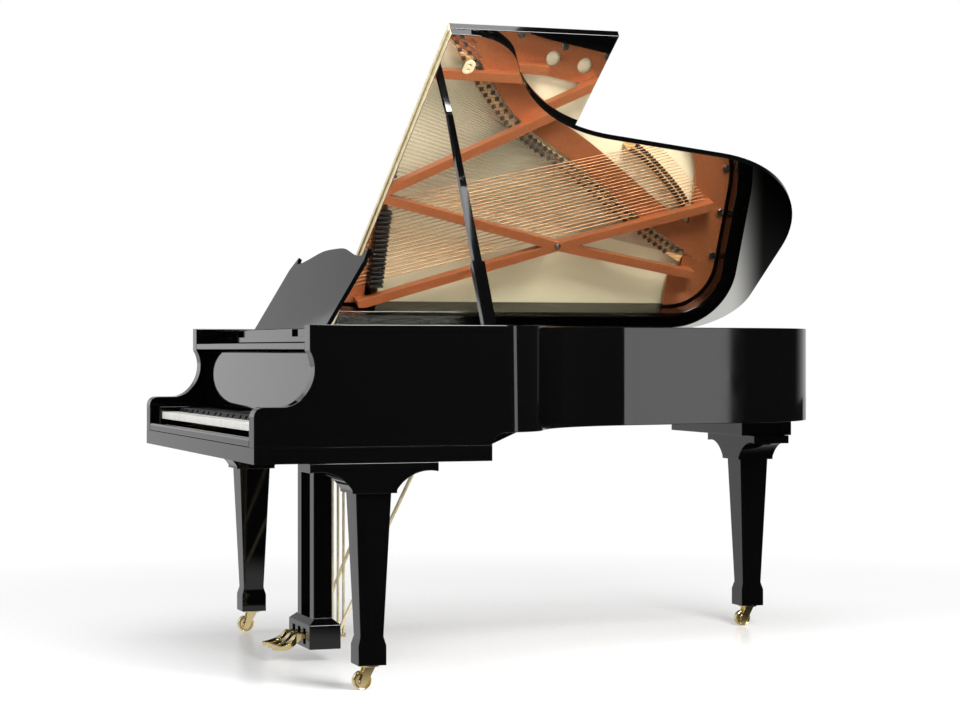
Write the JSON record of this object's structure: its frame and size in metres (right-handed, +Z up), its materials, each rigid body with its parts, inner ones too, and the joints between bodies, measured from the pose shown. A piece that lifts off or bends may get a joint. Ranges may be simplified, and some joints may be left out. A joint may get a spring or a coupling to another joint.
{
  "type": "grand piano",
  "caption": "Black lacquered grand piano on brass casters, with raised lid on a prop, bronze plate, soundboard, keyboard, music desk and pedal lyre.",
  "frame": {"origin": "on the floor under the middle of the whole object's box", "axes": "+X from the bass side to the treble side, +Y from the keyboard to the tail, +Z up"},
  "size_m": [1.5238, 2.0894, 1.8558],
  "materials": {
    "black_lacquer": "black polyester, polished to a mirror gloss",
    "beech_frame": "satin lacquer",
    "spruce": "clear satin varnish",
    "maple": "satin",
    "bronzed_iron": "bronze-copper paint under clear lacquer",
    "nickel_steel": "nickel plated",
    "string_steel": "drawn music wire",
    "copper_winding": "copper wound",
    "key_white": "polished acrylic",
    "key_black": "satin",
    "hammer_felt": "pressed wool felt",
    "damper_black": "black satin over felt",
    "brass": "polished brass"
  },
  "bodies": {
    "case": {"outer_rim": "black_lacquer", "inner_rim": "beech_frame", "belly_rail": "beech_frame", "case_braces": "beech_frame", "tail_block": "black_lacquer", "keybed": "black_lacquer", "keyslip": "black_lacquer", "key_blocks": "black_lacquer", "front_rail": "black_lacquer", "lid_hinges": "brass", "prop_bracket": "brass", "soundboard": "spruce", "soundboard_ribs": "spruce", "long_bridge": "maple", "bass_bridge": "maple", "iron_plate": "bronzed_iron", "plate_bolts_and_pins": "nickel_steel", "pin_block": "maple", "tuning_pins": "nickel_steel", "plain_strings": "string_steel", "wound_strings": "copper_winding", "pivot_pins": "nickel_steel", "tray_rails": "black_lacquer", "lyre": "black_lacquer", "lyre_braces": "brass", "bass_leg": "black_lacquer", "treble_leg": "black_lacquer", "tail_leg": "black_lacquer"},
    "lid": {"main_lid": "black_lacquer", "flap_hinge": "brass", "lid_hinge_leaves": "brass", "prop_cup": "brass"},
    "flap": {"lid_flap": "black_lacquer", "flap_leaf": "brass"},
    "prop": {"lid_prop": "black_lacquer"},
    "fallboard": {"fallboard": "black_lacquer"},
    "tray": {"music_tray": "black_lacquer"},
    "desk": {"music_desk": "black_lacquer"},
    "desk_strut": {"desk_strut": "black_lacquer"},
    "action": {"key_frame": "maple", "action_stack": "maple", "hammers": "hammer_felt"},
    "naturals": {"natural_keys": "key_white"},
    "sharps": {"sharp_keys": "key_black"},
    "middle_c": {"middle_c_key": "key_white"},
    "middle_c_hammer": {"middle_c_hammer": "hammer_felt"},
    "dampers": {"damper_heads": "damper_black", "damper_lift": "maple"},
    "soft_pedal": {"soft_pedal": "brass"},
    "soft_rod": {"soft_rod": "brass"},
    "sostenuto_pedal": {"sostenuto_pedal": "brass"},
    "sostenuto_rod": {"sostenuto_rod": "brass"},
    "sustain_pedal": {"sustain_pedal": "brass"},
    "sustain_rod": {"sustain_rod": "brass"},
    "bass_caster": {"bass_caster_fork": "brass"},
    "bass_wheel": {"bass_caster_wheel": "brass"},
    "treble_caster": {"treble_caster_fork": "brass"},
    "treble_wheel": {"treble_caster_wheel": "brass"},
    "tail_caster": {"tail_caster_fork": "brass"},
    "tail_wheel": {"tail_caster_wheel": "brass"}
  },
  "joints": [
    {"name": "lid_hinge", "type": "hinge", "parent": "case", "child": "lid", "pos_m": [-0.74408, -0.4147, 0.996], "axis": [0, -1, 0], "range_deg": [0, 12]},
    {"name": "flap_hinge", "type": "hinge", "parent": "lid", "child": "flap", "pos_m": [-0.12148, -0.4187, 1.42536], "axis": [0.8387, 0, 0.5446], "range_deg": [0, 180]},
    {"name": "prop_fold", "type": "hinge", "parent": "case", "child": "prop", "pos_m": [0.68592, -0.3547, 0.977], "axis": [0, -1, 0], "range_deg": [0, 45]},
    {"name": "fallboard_hinge", "type": "hinge", "parent": "case", "child": "fallboard", "pos_m": [0.01192, -0.8587, 0.758], "axis": [1, 0, 0], "range_deg": [0, 96.5]},
    {"name": "tray_slide", "type": "slide", "parent": "case", "child": "tray", "axis": [0, 1, 0], "range_m": [-0.05, 0.02]},
    {"name": "desk_fold", "type": "hinge", "parent": "tray", "child": "desk", "pos_m": [0.01192, -0.7507, 0.968], "axis": [-1, 0, 0], "range_deg": [0, 59]},
    {"name": "desk_strut_fold", "type": "hinge", "parent": "desk", "child": "desk_strut", "pos_m": [0.01192, -0.69147, 1.06657], "axis": [1, 0, 0], "range_deg": [0, 118]},
    {"name": "action_shift", "type": "slide", "parent": "case", "child": "action", "axis": [1, 0, 0], "range_m": [0, 0.003]},
    {"name": "naturals_dip", "type": "hinge", "parent": "action", "child": "naturals", "pos_m": [0.01192, -0.7997, 0.7035], "axis": [1, 0, 0], "range_deg": [0, 2.5], "stiffness_Nm_per_rad": 100, "springref_deg": -2.86},
    {"name": "sharps_dip", "type": "hinge", "parent": "action", "child": "sharps", "pos_m": [0.01192, -0.7997, 0.7035], "axis": [1, 0, 0], "range_deg": [0, 2.5], "stiffness_Nm_per_rad": 60, "springref_deg": -2.86},
    {"name": "middle_c_dip", "type": "hinge", "parent": "action", "child": "middle_c", "pos_m": [0.01192, -0.7997, 0.7035], "axis": [1, 0, 0], "range_deg": [0, 2.5], "stiffness_Nm_per_rad": 3, "springref_deg": -2.29},
    {"name": "middle_c_strike", "type": "hinge", "parent": "action", "child": "middle_c_hammer", "pos_m": [0.01192, -0.4487, 0.813], "axis": [1, 0, 0], "range_deg": [0, 14]},
    {"name": "damper_lift", "type": "slide", "parent": "case", "child": "dampers", "axis": [0, 0, 1], "range_m": [0, 0.006]},
    {"name": "soft_pedal_press", "type": "hinge", "parent": "case", "child": "soft_pedal", "pos_m": [-0.05008, -0.6787, 0.072], "axis": [1, 0, 0], "range_deg": [0, 5], "stiffness_Nm_per_rad": 20, "springref_deg": -5.73},
    {"name": "soft_rod_lift", "type": "slide", "parent": "case", "child": "soft_rod", "axis": [0, 0, 1], "range_m": [0, 0.007]},
    {"name": "sostenuto_pedal_press", "type": "hinge", "parent": "case", "child": "sostenuto_pedal", "pos_m": [0.01192, -0.6787, 0.072], "axis": [1, 0, 0], "range_deg": [0, 5], "stiffness_Nm_per_rad": 20, "springref_deg": -5.73},
    {"name": "sostenuto_rod_lift", "type": "slide", "parent": "case", "child": "sostenuto_rod", "axis": [0, 0, 1], "range_m": [0, 0.007]},
    {"name": "sustain_pedal_press", "type": "hinge", "parent": "case", "child": "sustain_pedal", "pos_m": [0.07392, -0.6787, 0.072], "axis": [1, 0, 0], "range_deg": [0, 5], "stiffness_Nm_per_rad": 20, "springref_deg": -5.73},
    {"name": "sustain_rod_lift", "type": "slide", "parent": "case", "child": "sustain_rod", "axis": [0, 0, 1], "range_m": [0, 0.007]},
    {"name": "bass_swivel", "type": "hinge", "parent": "case", "child": "bass_caster", "pos_m": [-0.67408, -0.7097, 0.069], "axis": [0, 0, 1], "continuous": true},
    {"name": "bass_roll", "type": "hinge", "parent": "bass_caster", "child": "bass_wheel", "pos_m": [-0.67408, -0.7297, 0.026], "axis": [1, 0, 0], "continuous": true},
    {"name": "treble_swivel", "type": "hinge", "parent": "case", "child": "treble_caster", "pos_m": [0.69792, -0.7097, 0.069], "axis": [0, 0, 1], "continuous": true},
    {"name": "treble_roll", "type": "hinge", "parent": "treble_caster", "child": "treble_wheel", "pos_m": [0.69792, -0.7297, 0.026], "axis": [1, 0, 0], "continuous": true},
    {"name": "tail_swivel", "type": "hinge", "parent": "case", "child": "tail_caster", "pos_m": [-0.29008, 0.9033, 0.069], "axis": [0, 0, 1], "continuous": true},
    {"name": "tail_roll", "type": "hinge", "parent": "tail_caster", "child": "tail_wheel", "pos_m": [-0.29008, 0.8833, 0.026], "axis": [1, 0, 0], "continuous": true}
  ],
  "couplings": [
    {"joint": "desk_strut_fold", "follows": "desk_fold", "ratio": 2},
    {"joint": "middle_c_strike", "follows": "middle_c_dip", "ratio": 5.5},
    {"joint": "action_shift", "follows": "soft_pedal_press", "m_per_rad": 0.034},
    {"joint": "damper_lift", "follows": "sustain_pedal_press", "m_per_rad": 0.068},
    {"joint": "soft_rod_lift", "follows": "soft_pedal_press", "m_per_rad": 0.079},
    {"joint": "sostenuto_rod_lift", "follows": "sostenuto_pedal_press", "m_per_rad": 0.079},
    {"joint": "sustain_rod_lift", "follows": "sustain_pedal_press", "m_per_rad": 0.079}
  ]
}
